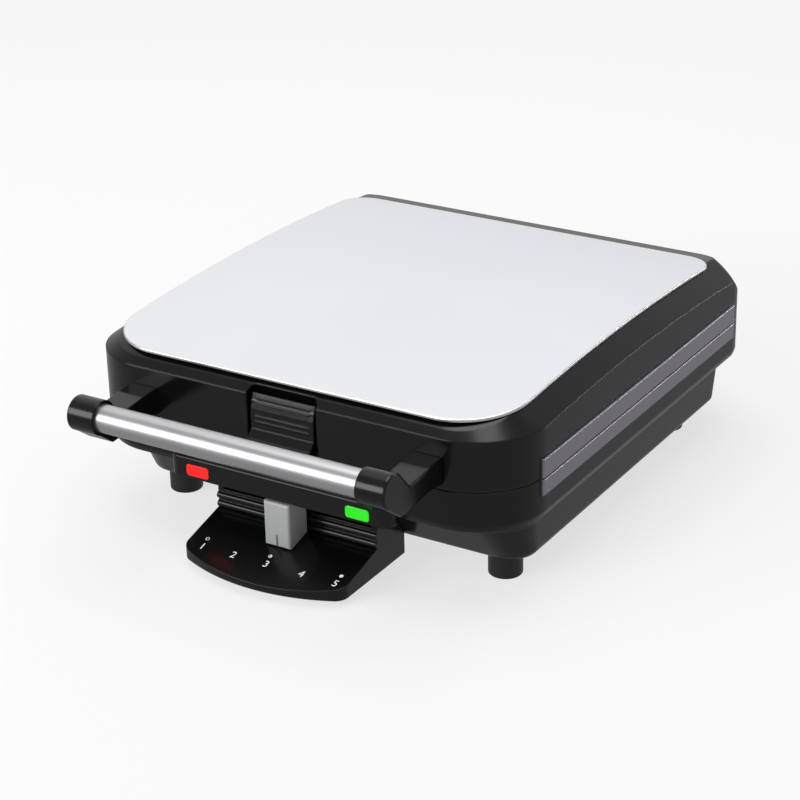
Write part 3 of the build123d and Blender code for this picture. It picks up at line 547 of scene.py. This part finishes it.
@dataclass
class LatchRibs:
    """Fine moulded ribs across the latch tab's face, laid out by Geometry Nodes.

    Attributes:
        palette: Where the finish comes from.
        count: How many ribs.
        first: Middle of the lowest rib, in millimetres.
        step: From one rib to the next, in millimetres.
        radius: A rib's radius in millimetres.
        length: A rib's length in millimetres.
        sides: How many sides a rib has.
    """

    palette: Palette
    count: int = 6
    first: tuple[float, float, float] = (0.0, -141.93, 99.6)
    step: tuple[float, float, float] = (0.0, 0.403, 1.3)
    radius: float = 0.32
    length: float = 36.0
    sides: int = 12

    def _tree(self, finish: bpy.types.Material) -> tuple[bpy.types.NodeTree, dict[str, str]]:
        """Builds the node tree that lays out the ribs.

        Args:
            finish: The material of the ribs.

        Returns:
            The tree, and each input's identifier by its name.
        """
        group = bpy.data.node_groups.new("latch_ribs", "GeometryNodeTree")
        group.is_modifier = True
        group.interface.new_socket("Geometry", in_out="OUTPUT", socket_type="NodeSocketGeometry")
        kinds = {
            "Count": "NodeSocketInt",
            "Start": "NodeSocketVector",
            "Step": "NodeSocketVector",
            "Radius": "NodeSocketFloat",
            "Length": "NodeSocketFloat",
        }
        sockets = {
            name: group.interface.new_socket(name, in_out="INPUT", socket_type=kind).identifier
            for name, kind in kinds.items()
        }
        given = group.nodes.new("NodeGroupInput").outputs
        line = add_node(
            group,
            "GeometryNodeMeshLine",
            links={
                "Count": given["Count"],
                "Start Location": given["Start"],
                "Offset": given["Step"],
            },
            mode="OFFSET",
        )
        bar = add_node(
            group,
            "GeometryNodeMeshCylinder",
            {"Vertices": self.sides},
            {"Radius": given["Radius"], "Depth": given["Length"]},
        )
        across = add_node(
            group,
            "GeometryNodeTransform",
            {"Rotation": (0.0, math.pi / 2, 0.0)},
            {"Geometry": bar.outputs["Mesh"]},
        )
        rows = add_node(
            group,
            "GeometryNodeInstanceOnPoints",
            links={"Points": line.outputs["Mesh"], "Instance": across.outputs["Geometry"]},
        )
        real = add_node(
            group,
            "GeometryNodeRealizeInstances",
            links={"Geometry": rows.outputs["Instances"]},
        )
        painted = add_node(
            group,
            "GeometryNodeSetMaterial",
            {"Material": finish},
            {"Geometry": real.outputs["Geometry"]},
        )
        add_node(group, "NodeGroupOutput", links={"Geometry": painted.outputs["Geometry"]})
        return group, sockets

    def build(self) -> None:
        """Makes the ribs as one plain mesh that turns with the latch."""
        finish = self.palette.get("black_control")
        group, sockets = self._tree(finish)
        holder = bpy.data.objects.new("latch_ribs_source", bpy.data.meshes.new("latch_ribs_source"))
        bpy.context.scene.collection.objects.link(holder)
        modifier = holder.modifiers.new("latch_ribs", "NODES")
        modifier.node_group = group
        values = {
            "Count": self.count,
            "Start": [v * MM for v in self.first],
            "Step": [v * MM for v in self.step],
            "Radius": self.radius * MM,
            "Length": self.length * MM,
        }
        for name, value in values.items():
            modifier[sockets[name]] = value
        mesh = flat_mesh(holder)
        holder.modifiers.remove(modifier)
        bpy.data.objects.remove(holder)
        link_mesh("latch_ribs", mesh, finish, Body.LATCH)


@dataclass(frozen=True)
class SoftLight:
    """One rectangular soft light.

    Attributes:
        name: The light's name.
        place: Where it hangs, in metres.
        target: The point it faces.
        size: Its width and height in metres.
        power: Its power in watts.
    """

    name: str
    place: tuple[float, float, float]
    target: tuple[float, float, float]
    size: tuple[float, float]
    power: float

    def build(self) -> None:
        """Hangs the light, out of the camera's sight."""
        data = bpy.data.lights.new(self.name, "AREA")
        data.shape = "RECTANGLE"
        data.size, data.size_y = self.size
        data.energy = self.power
        lamp = bpy.data.objects.new(self.name, data)
        lamp.location = self.place
        toward = Vector(self.place) - Vector(self.target)
        lamp.rotation_euler = toward.to_track_quat("Z", "Y").to_euler()
        bpy.context.scene.collection.objects.link(lamp)
        lamp.visible_camera = False


LIGHTS = (
    SoftLight("overhead", (0.0, 0.1, 1.9), (0.0, 0.0, 0.0), (1.6, 1.2), 20.0),
    SoftLight("front_left", (-0.98, -1.75, 0.78), (0.0, -0.14, 0.09), (1.7, 0.95), 26.0),
    SoftLight("low_right", (1.25, 2.0, 0.1), (0.1, 0.0, 0.1), (1.3, 0.13), 7.0),
)


@dataclass
class Studio:
    """Camera, floor, backdrop colour and lights.

    Attributes:
        azimuth: Degrees the camera stands round from the front.
        elevation: Degrees the camera stands above the level.
        roll: Degrees the picture is turned.
        camera_place: Where the camera stands, in metres.
        sensor: Width of the camera's sensor in millimetres.
        focal_pixels: Focal length in picture dots.
        picture_width: Width of the picture in dots.
        clip: Nearest and farthest distance seen, in metres.
        floor_radius: Radius of the floor in metres.
        floor_sides: How many sides the floor has.
        shadow_share: How much of the floor's shading the camera sees.
        floor_in_gloss: Brightness of the floor in reflections.
        sky_toward: Direction of the world's brightest part.
        sky_spread: Cosines between which the world brightens.
        sky_level: The world's strength away from its brightest part and in it.
    """

    azimuth: float = 31.93
    elevation: float = 24.47
    roll: float = -1.37
    camera_place: tuple[float, float, float] = (0.70326, -1.13966, 0.66216)
    sensor: float = 36.0
    focal_pixels: float = 2306.45
    picture_width: float = 800.0
    clip: tuple[float, float] = (0.05, 20.0)
    floor_radius: float = 9.0
    floor_sides: int = 96
    shadow_share: float = 0.28
    floor_in_gloss: float = 0.4
    sky_toward: tuple[float, float, float] = (-0.42, 0.66, 0.62)
    sky_spread: tuple[float, float] = (0.62, 1.0)
    sky_level: tuple[float, float] = (0.42, 0.98)

    def _camera(self) -> None:
        """Sets the photograph's camera."""
        angles = (self.azimuth, self.elevation, self.roll)
        azimuth, elevation, roll = [math.radians(a) for a in angles]
        back = Vector(
            (
                math.sin(azimuth) * math.cos(elevation),
                -math.cos(azimuth) * math.cos(elevation),
                math.sin(elevation),
            )
        )
        right = Vector((math.cos(azimuth), math.sin(azimuth), 0.0))
        up = back.cross(right)
        across = right * math.cos(roll) + up * math.sin(roll)
        upward = up * math.cos(roll) - right * math.sin(roll)
        data = bpy.data.cameras.new("camera")
        data.sensor_width = self.sensor
        data.lens = self.sensor * self.focal_pixels / self.picture_width
        data.clip_start, data.clip_end = self.clip
        camera = bpy.data.objects.new("camera", data)
        turn = Matrix((across, upward, back)).transposed().to_4x4()
        camera.matrix_world = Matrix.Translation(self.camera_place) @ turn
        bpy.context.scene.collection.objects.link(camera)
        bpy.context.scene.camera = camera

    def _floor(self) -> None:
        """Lays a pale floor that fades into the backdrop."""
        made = bmesh.new()
        bmesh.ops.create_circle(
            made,
            cap_ends=True,
            radius=self.floor_radius,
            segments=self.floor_sides,
        )
        mesh = bpy.data.meshes.new("floor")
        made.to_mesh(mesh)
        made.free()
        material = bpy.data.materials.new("pale paper sweep")
        material.use_nodes = True
        tree = material.node_tree
        tree.nodes.clear()
        path = add_node(tree, "ShaderNodeLightPath")
        paper = add_node(
            tree,
            "ShaderNodeBsdfDiffuse",
            {"Color": linear("f0f0f0"), "Roughness": 0.5},
        )
        even = add_node(
            tree,
            "ShaderNodeEmission",
            {"Color": linear("fafafa"), "Strength": 1.0},
        )
        mirrored = add_node(
            tree,
            "ShaderNodeEmission",
            {"Color": linear("ffffff"), "Strength": self.floor_in_gloss},
        )
        seen = add_node(
            tree,
            "ShaderNodeMixShader",
            {0: self.shadow_share},
            {1: even.outputs[0], 2: paper.outputs[0]},
        )
        direct = add_node(
            tree,
            "ShaderNodeMixShader",
            links={0: path.outputs["Is Camera Ray"], 1: paper.outputs[0], 2: seen.outputs[0]},
        )
        both = add_node(
            tree,
            "ShaderNodeMixShader",
            links={
                0: path.outputs["Is Glossy Ray"],
                1: direct.outputs[0],
                2: mirrored.outputs[0],
            },
        )
        add_node(tree, "ShaderNodeOutputMaterial", links={"Surface": both.outputs[0]})
        mesh.materials.append(material)
        floor = bpy.data.objects.new("floor", mesh)
        bpy.context.scene.collection.objects.link(floor)

    def _world(self) -> None:
        """Lights the object from all round and shows a near-white backdrop."""
        world = bpy.data.worlds.new("studio")
        bpy.context.scene.world = world
        world.use_nodes = True
        tree = world.node_tree
        tree.nodes.clear()
        place = add_node(tree, "ShaderNodeTexCoord")
        toward = add_node(
            tree,
            "ShaderNodeVectorMath",
            {1: self.sky_toward},
            {0: place.outputs["Generated"]},
            operation="DOT_PRODUCT",
        )
        ramp = add_node(
            tree,
            "ShaderNodeMapRange",
            {
                "From Min": self.sky_spread[0],
                "From Max": self.sky_spread[1],
                "To Min": self.sky_level[0],
                "To Max": self.sky_level[1],
            },
            {"Value": toward.outputs["Value"]},
            interpolation_type="SMOOTHSTEP",
        )
        soft = add_node(
            tree,
            "ShaderNodeBackground",
            {"Color": linear("ffffff")},
            {"Strength": ramp.outputs["Result"]},
        )
        plain = add_node(
            tree,
            "ShaderNodeBackground",
            {"Color": linear("fbfbfb"), "Strength": 1.0},
        )
        path = add_node(tree, "ShaderNodeLightPath")
        mix = add_node(
            tree,
            "ShaderNodeMixShader",
            links={0: path.outputs["Is Camera Ray"], 1: soft.outputs[0], 2: plain.outputs[0]},
        )
        add_node(tree, "ShaderNodeOutputWorld", links={"Surface": mix.outputs[0]})

    def build(self) -> None:
        """Sets up everything round the object."""
        self._camera()
        self._floor()
        self._world()
        for light in LIGHTS:
            light.build()
        bpy.context.scene.view_settings.view_transform = "Standard"


def paint(frame: dict, palette: Palette) -> None:
    """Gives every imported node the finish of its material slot, and the latch pin black.

    Args:
        palette: Where the finishes come from.
    """
    slots = {entry["node"]: entry["material_slot"] for entry in frame["record"]["subparts"]}
    slots["latch_pin"] = "black_housing"
    for name, node in frame["nodes"].items():
        node.data.materials.clear()
        node.data.materials.append(palette.get(slots[name]))


def main() -> None:
    """Builds the whole picture in order."""
    logging.basicConfig(level=logging.INFO)
    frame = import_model()
    palette = Palette()
    paint(frame, palette)
    log.info("painted %d nodes", len(frame["nodes"]))
    Scale(palette).build()
    LatchRibs(palette).build()
    Studio().build()


if __name__ == "__main__":
    main()
